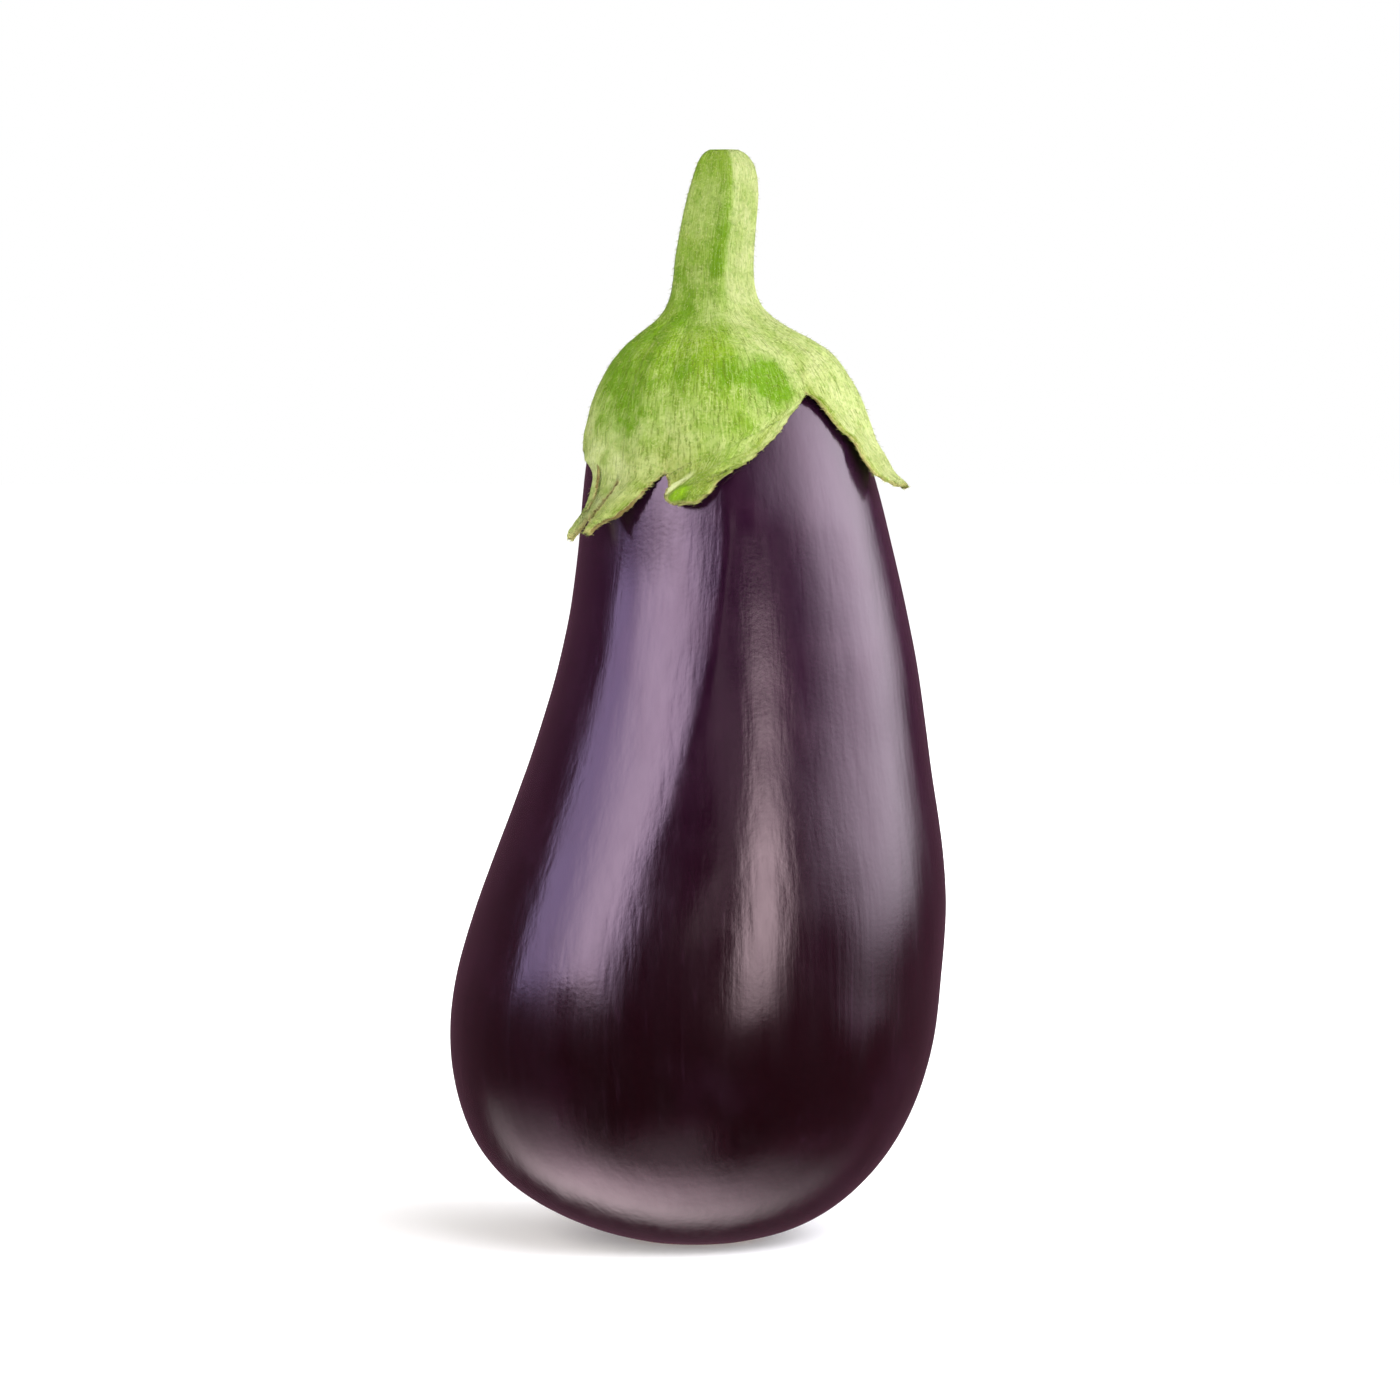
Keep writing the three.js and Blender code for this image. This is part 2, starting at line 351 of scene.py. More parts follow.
def blend(share, first, second):
    """The first colour where the share is 0, the second where it is 1."""
    made = beside(share, "ShaderNodeMix")
    made.data_type = "RGBA"
    connect(made.inputs["Factor"], share)
    for socket, colour in zip((made.inputs[6], made.inputs[7]), (first, second)):
        connect(socket, colour if isinstance(colour, bpy.types.NodeSocket) else (*colour, 1))
    return made.outputs[2]


def washes(colour, layers):
    """A colour with others laid over it; each layer is a share and a colour."""
    for share, other in layers:
        colour = blend(share, colour, other)
    return colour


print("ready: patterns and colours")

# %% Helpers for surfaces
def measure(operation, vector, other=(0, 0, 0)):
    """A number from a vector, such as its length, or how far it points along another one."""
    made = beside(vector, "ShaderNodeVectorMath")
    made.operation = operation
    connect(made.inputs[0], vector)
    made.inputs[1].default_value = other
    return made.outputs["Value"]


def relief(layers):
    """A normal that makes a smooth surface look uneven; each layer is a pattern and its depth in metres."""
    normal = None
    for height, depth in layers:
        made = beside(height, "ShaderNodeBump")
        made.inputs["Strength"].default_value = 1.0
        made.inputs["Distance"].default_value = depth
        connect(made.inputs["Height"], height)
        if normal is not None:
            connect(made.inputs["Normal"], normal)
        normal = made.outputs[0]
    return normal


def new_finish(piece, name):
    """A new material on a piece: its node tree, its main shader and the place of each point."""
    material = bpy.data.materials.new(name)
    material.use_nodes = True
    piece.data.materials.append(material)
    tree = material.node_tree
    print("finish:", name)
    return tree, tree.nodes["Principled BSDF"], tree.nodes.new("ShaderNodeTexCoord").outputs["Object"]


def set_sockets(shader, values):
    """Links or sets the named sockets of a shader."""
    for name, value in values.items():
        connect(shader.inputs[name], value)


def paint_layer(tree, name):
    """A value per point that the mesh carries."""
    layer = tree.nodes.new("ShaderNodeAttribute")
    layer.attribute_name = name
    return layer


print("ready: surfaces")

# %% [markdown]
# ## The skin's finish
# Eggplant skin is a nearly black purple, browner low down, under a natural wax with a faint cloudy bloom.
# Close up it has fine streaks along the length, which blur the highlights across and break them up. A clear
# coat over a dark base would give two sharp reflections, so a single rough gloss is nearer, with its
# roughness and its relief taken from noise that is stretched upwards. The reflection itself is tinted,
# because the wax carries some of the skin's colour.

# %% Colour the skin
AUBERGINE_LOW = (0.0055, 0.0007, 0.0014)
AUBERGINE_HIGH = (0.0095, 0.0016, 0.008)
AUBERGINE_PALE = (0.022, 0.006, 0.016)
SCAR_TAN = (0.16, 0.09, 0.045)

tree, shader, place = new_finish(fruit_piece, "waxy_aubergine_skin")
height = split(place)["Z"]
streaks = cloud(place, 1.2 * MM, stretch=(1, 1, 28))
bands = cloud(place, 5 * MM, detail=2, stretch=(1, 1, 13))
pores = cloud(place, 0.9 * MM)
mottle = cloud(place, 22 * MM, detail=4)
bloom = cloud(place, 7 * MM, detail=5, stretch=(1, 1, 1.6))

cloudy = product(fade(bloom, 0.4, 0.7, 0, 0.3), fade(height, 0.06, 0.13))
ragged_height = arithmetic("ADD", height, product(pores, 0.6 * MM))
colour = washes(AUBERGINE_LOW, [
    (fade(height, 0.03, 0.14), AUBERGINE_HIGH),
    (fade(mottle, 0.5, 0.75, 0, 0.25), AUBERGINE_PALE),
    (cloudy, AUBERGINE_PALE),
    (fade(streaks, 0.6, 0.8, 0, 0.35), AUBERGINE_PALE),
    (fade(ragged_height, 0.4 * MM, 1.0 * MM, 1, 0), SCAR_TAN),
])
set_sockets(shader, {"Base Color": colour})
print("skin colours from", len(tree.nodes), "nodes")

# %% Give the skin its gloss and grain
STREAK_RELIEF = 0.038 * MM
BAND_RELIEF = 0.1 * MM
PORE_RELIEF = 0.018 * MM

roughness = fade(bands, 0.3, 0.7, 0.14, 0.2)
roughness = arithmetic("ADD", fade(streaks, 0.3, 0.7, 0.0, 0.04), roughness)
roughness = arithmetic("ADD", roughness, fade(bloom, 0.35, 0.65, -0.015, 0.025))
set_sockets(shader, {
    "Roughness": roughness,
    "Normal": relief([(streaks, STREAK_RELIEF), (bands, BAND_RELIEF), (pores, PORE_RELIEF)]),
    "Specular IOR Level": 0.55,
    "Specular Tint": (1.0, 0.78, 0.94, 1),
})
print("skin nodes:", len(tree.nodes))

# %% [markdown]
# ## The calyx: where its lobes end
# The green cap is the calyx of the flower, grown along with the fruit. It runs on from the stem without a
# seam, clasps the shoulder, and ends in pointed lobes that dry and lift at their tips. One could cut the
# lobes from a dome with a boolean, but then the fibres would not bend towards the tips. Instead we draw the
# two edges of each lobe, from the notches beside it down to its tip, and stretch a grid between them.

# %% Outline of the cap and stem
CAP_LEVELS = [
    (0.74, -0.495, 0.831), (0.873, -0.445, 0.717), (0.928, -0.406, 0.652), (0.972, -0.332, 0.555),
    (1.006, -0.203, 0.37), (1.028, -0.125, 0.266), (1.05, -0.099, 0.23), (1.083, -0.085, 0.223),
    (1.138, -0.048, 0.24), (1.172, -0.014, 0.24), (1.188, 0.006, 0.224), (1.198, 0.03, 0.196),
    (1.2025, 0.056, 0.168),
]
cap_outline = outline(CAP_LEVELS)
print("stem top in mm:", round(cap_outline[0][-1] / MM, 1))

# %% Edges of the lobes
LOBES = {  # each edge: azimuth in degrees and drop below the crown in mm, from the notch to the tip
    "left_finger": {
        "left": [(-88, 22), (-74, 22.4), (-63.2, 24.2), (-58.7, 27.5), (-57.3, 30.5), (-57.8, 33.2),
                 (-59.3, 35.2), (-61, 37), (-60.9, 40.2)],
        "right": [(-53.8, 32.2), (-58.4, 34.7), (-60.4, 36.6), (-60.4, 38.6), (-59.6, 41)],
        "lift": 6.0, "curl": 2.2,
    },
    "second_finger": {
        "left": [(-48.5, 29), (-51.4, 32.6), (-52.8, 35.3), (-52.8, 37.4), (-51.6, 38.8)],
        "right": [(-28.8, 28.2), (-32, 30), (-35.5, 32.3), (-38.7, 34.3), (-42.7, 36.1), (-46.5, 37.3),
                  (-48.3, 38.3), (-49.3, 39.7)],
        "lift": 6.5, "curl": 1.3,
    },
    "front_lobe": {
        "left": [(-26, 27.2), (-23.8, 28.4), (-23.6, 30.2), (-24.6, 31.6), (-22.8, 32.8), (-19.5, 33.4)],
        "right": [(34, 13.3), (27, 16.2), (20, 19.5), (13.5, 22.2), (7, 24.8), (1, 26.6), (-4, 28.8),
                  (-8.5, 31.4), (-12, 33.2)],
        "lift": 2.2, "curl": 1.5,
    },
    "right_lobe": {
        "left": [(38.5, 11.5), (43, 13), (48, 15.6), (52.5, 18.6), (57, 20.5), (59.3, 22.3), (59.3, 24.3),
                 (60.4, 26), (61.5, 27.6), (64.5, 29.2), (68, 30.3), (71, 31.1)],
        "right": [(103, 22), (95, 25), (85, 28), (75, 31.4)],
        "lift": 5.0, "curl": 2.2,
    },
    "back_right_lobe": {
        "left": [(108, 19), (117, 23.5), (127, 28.5), (135, 33), (141.5, 37)],
        "right": [(176, 19.5), (162, 25), (153, 31), (146.5, 37)],
        "lift": 2.6, "curl": 1.8,
    },
    "back_left_lobe": {
        "left": [(186, 16), (197, 22), (208, 28), (217.5, 33), (225.5, 38)],
        "right": [(262, 22.6), (251, 26.5), (240, 32), (231, 37.6)],
        "lift": 2.2, "curl": 1.8,
    },
}
print("lobes:", ", ".join(LOBES))

# %% [markdown]
# ## A grid for each lobe
# The grid's columns start at the top of the stem, run down between two notches, and then draw together
# towards the tip, just as the fibres do. Trimming an even grid would be easier, but would leave steps along
# the edges. The edges also wander a little, as dry edges do.

# %% Lay out the columns
COLUMN_DEGREES = 1.4
FEWEST_COLUMNS = 24
LOBE_ROWS = 60
RAGGED_MM = 0.55
RAGGED_WAVES = [(13, 1.0, 0), (41, 0.6, 5)]  # how many along an edge, strength, start
RAGGED_START = 0.12  # share of the way from the notch
RAGGED_STEP = (1.0, 0.8)  # degrees aside and mm down


def ragged(edge, along, seed):
    """Moves the points of an edge by a small random amount, growing from nothing at the notch."""
    step = 0
    for count, strength, start in RAGGED_WAVES:
        places = [Vector((count * share, seed, start)) for share in along]
        step = step + strength * np.array([noise.noise(place) for place in places])
    step = RAGGED_MM * step * np.clip(along / RAGGED_START, 0, 1)
    return edge + step[:, None] * RAGGED_STEP


def lobe_spots(name):
    """Azimuth in degrees and drop in mm of a lobe's points, from its notch line to its tip."""
    names = list(LOBES)
    number = names.index(name)
    full_turn = (360, 0) if number + 1 == len(names) else (0, 0)
    start = np.array(LOBES[name]["left"][0], float)
    end = np.array(LOBES[names[(number + 1) % len(names)]]["left"][0], float) + full_turn
    columns = max(FEWEST_COLUMNS, round((end[0] - start[0]) / COLUMN_DEGREES))
    across = np.linspace(0, 1, columns + 1)[:, None]
    along = np.linspace(0, 1, LOBE_ROWS + 1)
    left = ragged(smooth_curve(LOBES[name]["left"])(along), along, number)
    right = ragged(smooth_curve([end, *LOBES[name]["right"]])(along), along, number + 20)
    return left[:, None] * (1 - across) + right[:, None] * across


def column_heights(shape, lowest, rows):
    """Heights down each column from the top of an outline to just above the lowest, evenly spread."""
    steps = np.arange(len(shape[0]))
    lowest_step = np.interp(lowest, shape[0], steps)
    return np.interp(np.linspace(steps[-1], lowest_step, rows, endpoint=False), steps, shape[0])


print("columns of each lobe:", [lobe_spots(name).shape[1] for name in LOBES])

# %% [markdown]
# ## Lift and relief
# A calyx isn't an even shell. Its tips curl away from the skin, its right lobe gapes where two lobes part,
# the front tip is puffed and folded, a rib runs to each tip, and the rim is thin. A displacement texture
# could do some of that, but these forms belong to certain places, so functions of the place give the height.

# %% How far the sheets stand off the skin
STAND_OFF_GAP = 0.3  # mm between the skin and the inner sheet
GAPING_NOTCH = (40, 13)  # azimuth in degrees and drop in mm
GAPING_LIFT = 0.7
GAPING_SIZE = (6, 5)  # mm aside and below
LOOSE_EDGES = {"right_lobe": 0.25}  # mm that a lobe's left edge gapes half way down
MM_PER_DEGREE = 0.57  # round the cap, at the lobes


def stand_off(name, spots, across, along):
    """How far a lobe lifts off the skin, in mm."""
    tip = LOBES[name]["lift"] * along ** LOBES[name]["curl"]
    edge = LOOSE_EDGES.get(name, 0) * (1 - across) ** 2 * np.sin(np.pi * np.sqrt(along))
    aside = MM_PER_DEGREE * (spots[..., 0] - GAPING_NOTCH[0])
    below = spots[..., 1] - GAPING_NOTCH[1]
    gape = GAPING_LIFT * np.exp(-((aside / GAPING_SIZE[0]) ** 2) - (below / GAPING_SIZE[1]) ** 2)
    fold = neck_fold(np.radians(spots[..., 0]), FRUIT_HEIGHT - spots[..., 1] * MM) / MM
    return tip + edge + gape + fold


print("lift of each tip in mm:", {name: lobe["lift"] for name, lobe in LOBES.items()})

# %% The swollen tip of the front lobe
PUFF = (-18, 31.4)  # azimuth and drop of its middle
PUFF_SIZE = (2.8, 1.5)  # mm along the fold and over it
CREASE_SIZE = (4.5, 0.7)
CREASE_ABOVE = 2.2  # mm from the middle of the puff
FOLD_TURN = math.radians(-35)  # the fold beside it climbs to the right


def front_puff(spots):
    """Shares of the full height of the swollen tip, and of the full depth of the crease above it."""
    aside = MM_PER_DEGREE * (spots[..., 0] - PUFF[0])
    below = spots[..., 1] - PUFF[1]
    along_fold = math.cos(FOLD_TURN) * aside + math.sin(FOLD_TURN) * below
    over_fold = -math.sin(FOLD_TURN) * aside + math.cos(FOLD_TURN) * below
    puff = np.exp(-((along_fold / PUFF_SIZE[0]) ** 2) - (over_fold / PUFF_SIZE[1]) ** 2)
    in_crease = (over_fold + CREASE_ABOVE) / CREASE_SIZE[1]
    crease = np.exp(-((along_fold / CREASE_SIZE[0]) ** 2) - in_crease**2)
    return puff, crease


print("puff and crease at the puff's middle:", front_puff(np.array(PUFF)))

# %% Relief of the outer sheet
RIB = 1.1  # mm, as are the other heights and depths here
GROOVE = 0.6
RIM_THINNING = 0.55
THIN_RIM = 1.6  # mm from the rim
FIBRE_HEIGHT = 0.2
FIBRE_SIZE = 2.2
FIBRE_STRETCH = (1, 1, 0.08)
RIB_WIDTH = 0.2  # share of the lobe's width, as is the next
GROOVE_WIDTH = 0.1
FULL_RIB = 45  # columns of a lobe with a full rib
SMOOTH_CUT = 6 * MM  # below the stem's cut end
CROWN_BLEND = 6 * MM  # above and below the crown
STEM_RELIEF = 0.2  # of the cap's
LUMPS = [(15, 0.5), (7, 0.35), (3, 0.14)]  # size and height
HOLLOWS = [(20, -9, 6, 0.9), (-36, -20, 5, 0.5), (-28, 2, 4, 0.5)]  # degrees, over the crown, size, depth


def distance(points, others):
    """Distances between points, in mm."""
    return np.linalg.norm(points - others, axis=-1) / MM


def patches(points, spots):
    """How strongly each point lies in one of the soft-edged patches on the cap."""
    strengths = np.zeros(points.shape[:-1])
    for degrees, rise, size, strength in spots:
        centre = on_outline(cap_outline, math.radians(degrees), FRUIT_HEIGHT + rise * MM)
        strengths += strength * np.exp(-((distance(points, centre) / size) ** 2))
    return strengths


def outer_relief(points, fibre, across, rim):
    """Rib, grooves, lumps, hollows, fibres and a thin rim, in mm; nearly smooth at the stem's cut end."""
    below_cut = np.clip(fibre[..., 2] / SMOOTH_CUT, 0.15, 1)
    on_cap = np.clip((FRUIT_HEIGHT + CROWN_BLEND - points[..., 2]) / (2 * CROWN_BLEND), 0, 1)
    height = RIB * min(1, len(across) / FULL_RIB)
    rib = on_cap * (height * np.exp(-(((across - 0.5) / RIB_WIDTH) ** 2)) - patches(points, HOLLOWS))
    rib -= on_cap * GROOVE * np.exp(-((np.minimum(across, 1 - across) / GROOVE_WIDTH) ** 2))
    lumpy = sum(height * bumps(points, size * MM, seed=3) for size, height in LUMPS)
    fibrous = FIBRE_HEIGHT * bumps(fibre * FIBRE_STRETCH, FIBRE_SIZE * MM)
    thin = RIM_THINNING * (1 - np.clip(rim / THIN_RIM, 0, 1)) ** 2
    return below_cut * (rib + (STEM_RELIEF + (1 - STEM_RELIEF) * on_cap) * (lumpy + fibrous)) - thin


print("hollows at the crown's front in mm:", patches(on_outline(cap_outline, 0, FRUIT_HEIGHT), HOLLOWS))

# %% [markdown]
# ## The stem
# The stem is cut a few centimetres above the crown. It has five blunt angles, which fade into the cap. A
# round stem would look turned, and a five-sided one cut. Two waves round the slice, one twice as fast, add up
# to angles that are sharper than the hollows between them.

# %% Angles of the stem
STEM_ANGLES = 5
STEM_ANGLE_SHARE = 0.06
STEM_ANGLE_EDGE = 0.35  # strength of the faster wave
STEM_ANGLE_AZIMUTH = math.radians(14)
STEM_ANGLE_FULL = FRUIT_HEIGHT + 12 * MM
STEM_ANGLE_FADE = 18 * MM


def stem_swell(azimuth, height):
    """How much the stem's angles stand out, as a share of its radius."""
    full = np.clip(1 - (STEM_ANGLE_FULL - height) / STEM_ANGLE_FADE, 0, 1)
    wave = STEM_ANGLES * (azimuth - STEM_ANGLE_AZIMUTH)
    return STEM_ANGLE_SHARE * full * (np.cos(wave) + STEM_ANGLE_EDGE * np.cos(2 * wave))


print("an angle stands out by a share of", stem_swell(STEM_ANGLE_AZIMUTH, STEM_ANGLE_FULL))

# %% [markdown]
# ## The two sheets of a lobe
# A lobe is a thin shell. Blender's Solidify modifier could thicken one sheet evenly, but a lobe is thick in
# the middle and thin at its rim. So we make two sheets: the outer one from the outline of the cap, with all
# its relief, and the inner one from the fruit's, with a hair of room. Both lift together.

# %% What a point of a sheet has to know
FIBRE_RADIUS = 30 * MM  # of the round bundle that the fibres are drawn on


def rim_distance(points, rows):
    """How far each point is from the rim of its lobe, or from the nearer notch in the rows above, in mm."""
    lobe = points[rows:]
    to_edges = [distance(lobe, edge) for edge in (lobe[:, :1], lobe[:, -1:], lobe[-1:])]
    to_notches = [distance(points[:rows], notch) for notch in (lobe[0, 0], lobe[0, -1])]
    return np.concatenate([np.min(to_notches, axis=0), np.min(to_edges, axis=0)])


def fibre_places(points, notch_degrees):
    """Where each point lies on a straight bundle of fibres: round it, and down along it."""
    steps = distance(points[1:], points[:-1])
    run = np.concatenate([np.zeros((1, points.shape[1])), np.cumsum(steps, axis=0)]) * MM
    turn = np.radians(notch_degrees) + 0 * run
    return np.stack([FIBRE_RADIUS * np.sin(turn), FIBRE_RADIUS * np.cos(turn), run], axis=-1)


print("the bundle of fibres is", 2 * FIBRE_RADIUS / MM, "mm thick")

# %% Points of one sheet
STEM_ROWS = 74
INNER_ROWS = 12
PUFF_HEIGHT = 2.8  # mm
CREASE_DEPTH = 1.4
PUFF_START = 0.2  # share of the way from the notch to the tip
DRY_TIPS = {"left_finger": 0.75, "second_finger": 0.7, "front_lobe": 0.1, "right_lobe": 0.8}
DRY_TIP = 0.7  # of the other lobes


def lobe_sheet(name, shape, rows, outer):
    """The points of a lobe's outer or inner sheet with its part of the cap, and what its finish needs."""
    spots = lobe_spots(name)
    notch_degrees = spots[:1, :, 0]
    above = column_heights(shape, FRUIT_HEIGHT - spots[0, :, 1] * MM, rows)
    height = np.concatenate([above, FRUIT_HEIGHT - spots[..., 1] * MM])
    degrees = np.concatenate([np.repeat(notch_degrees, rows, axis=0), spots[..., 0]])
    spots = np.stack([degrees, (FRUIT_HEIGHT - height) / MM], axis=-1)
    across = np.linspace(0, 1, spots.shape[1])
    along = np.concatenate([np.zeros(rows), np.linspace(0, 1, LOBE_ROWS + 1)])[:, None]

    azimuth = np.radians(degrees)
    points = on_outline(shape, azimuth, height, stem_swell(azimuth, height) if outer else 0)
    away = away_from(shape, azimuth, height)
    rim = rim_distance(points, rows)
    fibre = fibre_places(points, notch_degrees)
    swollen = np.clip(along / PUFF_START, 0, 1) * (name == "front_lobe")
    puff, crease = [swollen * share for share in front_puff(spots)]
    lift = stand_off(name, spots, across, along)
    if outer:
        lift = lift + outer_relief(points, fibre, across, rim) + PUFF_HEIGHT * puff - CREASE_DEPTH * crease
    else:
        lift = lift + STAND_OFF_GAP
    dry = DRY_TIPS.get(name, DRY_TIP) * along + 0 * rim
    # puff less crease; the crease is later painted as a pale flap with a painted highlight
    paint = {"fibre": fibre, "rim": rim, "puff": puff - crease, "dry": dry}
    return {"points": points + lift[..., None] * MM * away, "away": away, "paint": paint}


outer_sheets = {name: lobe_sheet(name, cap_outline, STEM_ROWS, outer=True) for name in LOBES}
inner_sheets = {name: lobe_sheet(name, fruit_outline, INNER_ROWS, outer=False) for name in LOBES}
print("outer points of the front lobe:", outer_sheets["front_lobe"]["points"].shape)

# %% [markdown]
# ## Sewing the calyx together
# Each lobe now has two open sheets. A strip of a few rows rounds its rim from the outer sheet to the inner
# one, the outer sheet closes over the cut end of the stem, and the inner one closes over the crown. They
# could stay apart, but gaps might show. Neighbouring lobes share the points of their common column, so
# merging turns all of it into one closed piece. What the finish needs rides along as paint layers.

# %% Round the rims
RIM_ROWS = 5
RIM_ROUND = 0.8  # how far the rim bulges, as a share of its half thickness
RIM_START = 0.15  # share of the way from the notch


def rim_of(sheet, inset=0):
    """Values along the edge of a lobe or some steps inside it: down the left, along the tip, up the right."""
    return np.concatenate([sheet[:, inset], sheet[-1 - inset, 1:-1], sheet[::-1, -1 - inset]])


def rim_grid(outer, inner):
    """Points and paint of the rows that round a lobe's edge from its outer sheet to its inner one."""
    outside, inside = outer["points"][STEM_ROWS:], inner["points"][INNER_ROWS:]
    middle, half = (rim_of(outside) + rim_of(inside)) / 2, (rim_of(outside) - rim_of(inside)) / 2
    along = np.linspace(0, 1, len(outside))
    along_rim = np.concatenate([along, np.ones(outside.shape[1] - 2), along[::-1]])
    grow = np.clip(along_rim / RIM_START, 0, 1)[:, None]
    outwards = unit(rim_of(outside) - rim_of(outside, inset=1))
    bulge = RIM_ROUND * grow * np.linalg.norm(half, axis=-1, keepdims=True) * outwards
    turns = np.linspace(0, np.pi, RIM_ROWS)
    points = np.array([middle + math.cos(turn) * half + math.sin(turn) * bulge for turn in turns])
    paint = {"cut": np.zeros(points.shape[:2])}
    for key, values in outer["paint"].items():
        paint[key] = np.repeat(rim_of(values[STEM_ROWS:])[None], RIM_ROWS, axis=0)
    return points, paint


print("a rim is rounded by", RIM_ROWS, "rows of points")

# %% Gather the grids of all lobes
STEM_CUT_RINGS = [(0.0, -0.5), (0.3, -0.3), (0.6, -0.45), (0.86, -0.05)]  # share of the radius, rise in mm
CROWN_RINGS = [(0.0, 0.6)]


def closed_grid(sheet, shape, rings, step):
    """Points and paint of a sheet that is closed over its top; a step of -1 turns its faces over."""
    edge = sheet["points"][0]
    middle = on_outline(shape, 0, shape[0][-1], swell=-1)
    top = [middle + (edge - middle) * (share, share, 0) + (0, 0, rise * MM) for share, rise in rings]
    paint = {"cut": np.zeros((len(rings) + len(sheet["points"]), len(edge)))}
    paint["cut"][:len(rings)] = 1
    for key, values in sheet["paint"].items():
        paint[key] = np.concatenate([np.repeat(values[:1], len(rings), axis=0), values])
    points = np.concatenate([np.array(top), sheet["points"]])
    return points[:, ::step], {key: values[:, ::step] for key, values in paint.items()}


calyx_grids = []
for outer, inner in zip(outer_sheets.values(), inner_sheets.values()):
    calyx_grids.append(closed_grid(outer, cap_outline, STEM_CUT_RINGS, 1))
    calyx_grids.append(closed_grid(inner, fruit_outline, CROWN_RINGS, -1))
    calyx_grids.append(rim_grid(outer, inner))
print("grids:", len(calyx_grids))

# %% Make the calyx one piece
FRESH_PATCHES = [  # azimuth in degrees, height over the crown in mm, size in mm, strength
    (-57, -6, 8, 1.2), (-75, -2, 6, 0.8), (-20, -7, 4, 1.1), (2, -8, 3.5, 0.9), (20, -9, 5, 2.2),
    (-49, -15, 6, 1.1), (-38, 3, 5, 0.9), (4, 29, 2, 0.8), (5, 25, 2, 0.9), (6, 21, 2, 1.0),
    (6, 17, 2.2, 1.2), (7, 13, 2.2, 1.2), (8, 9, 2.2, 0.8), (-75, 14, 5, 0.6), (120, -4, 8, 1.0),
    (170, -9, 7, 1.1), (230, -12, 8, 1.1), (160, 18, 4, 0.9), (260, 8, 6, 0.8),
]
# patches that are partly pale felt and partly a painted highlight, strongest on the left lobe
PALE_FELT_AND_HIGHLIGHT_PATCHES = [
    (-60, -29, 13, 1.2), (-84, -14, 8, 0.5), (-30, -18, 8, 0.4), (-5, -20, 8, 0.4), (-35, 25, 8, 0.4),
    (-40, 11, 5, 0.4), (5, 4, 6, 0.5), (150, -20, 12, 0.5), (215, -24, 12, 0.5), (170, 25, 8, 0.4),
]

points = np.concatenate([grid.reshape(-1, 3) for grid, paint in calyx_grids])
faces, start = [], 0
for grid, paint in calyx_grids:
    faces.append(grid_faces(*grid.shape[:2], start))
    start += grid.shape[0] * grid.shape[1]
calyx_paint = {}
for key in ("rim", "puff", "dry", "cut"):
    calyx_paint[key] = np.concatenate([paint[key].ravel() for grid, paint in calyx_grids])
calyx_paint["fibre"] = np.concatenate([paint["fibre"].reshape(-1, 3) for grid, paint in calyx_grids])
calyx_paint["fresh"] = patches(points, FRESH_PATCHES)
# the pale layer: partly felt, partly a painted highlight
calyx_paint["pale"] = patches(points, PALE_FELT_AND_HIGHLIGHT_PATCHES)

calyx_piece = make_piece("calyx_and_stem", points, np.concatenate(faces), calyx_paint)
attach(calyx_piece, "root")
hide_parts("cap_and_stem")

# %% [markdown]
# ## The calyx's finish
# The calyx is a fresh green with deeper patches, dark and pale fibres that run down to the tips, beds of pale
# felt, broad pale patches that are partly felt and partly a painted highlight, a painted highlight on the
# side that faces the right-hand lamps, and a rim that dries to tan and brown. Plain noise in space would cut
# across the fibres. So it is read in the grid's own directions, from the fibre layer: round the stem, and
# down towards each tip. The colours are laid over each other like washes of paint.

# %% Patterns of the calyx
RIGHT_LAMPS_SIDE = (0.91, -0.12, 0.4)  # the side that faces the right-hand lamps, where a highlight is painted
LAYERS = ("rim", "fresh", "pale", "puff", "dry", "cut")

tree, shader, place = new_finish(calyx_piece, "fresh_green_calyx")
fibre = paint_layer(tree, "fibre").outputs["Vector"]
# the pale layer holds felt together with a painted highlight
rim, fresh, pale, puff, dry, cut = [paint_layer(tree, layer).outputs["Fac"] for layer in LAYERS]
facing = tree.nodes.new("ShaderNodeTexCoord").outputs["Normal"]
# painted light: how squarely the calyx faces the right-hand lamps
lit_side = fade(measure("DOT_PRODUCT", facing, RIGHT_LAMPS_SIDE), 0.3, 0.85)
mottle = cloud(place, 4.5 * MM, detail=5)
grain = cloud(place, 0.8 * MM, detail=4)
flecks = cloud(place, 0.45 * MM)
strands = cloud(fibre, 0.45 * MM, detail=4, stretch=(1, 1, 6))
felt_beds = cloud(fibre, 3 * MM, stretch=(1, 1, 2.5))
print("calyx patterns from", len(tree.nodes), "nodes")

# %% Greens of the calyx
GREEN = (0.14, 0.235, 0.008)
GREEN_FRESH = (0.08, 0.175, 0.0005)
OLIVE = (0.195, 0.215, 0.035)
# colour of the pale patches, partly felt and partly a painted highlight
FELT_AND_HIGHLIGHT_PALE = (0.38, 0.43, 0.19)
# painted highlight: the paler green of the side that faces the right-hand lamps
LIT_SIDE_HIGHLIGHT = (0.33, 0.36, 0.155)
PUFF_FRESH = 1.6  # how strongly the swollen tip counts as a fresh patch

patchy = product(fresh, fade(mottle, 0.25, 0.7, 0.35, 1.1))
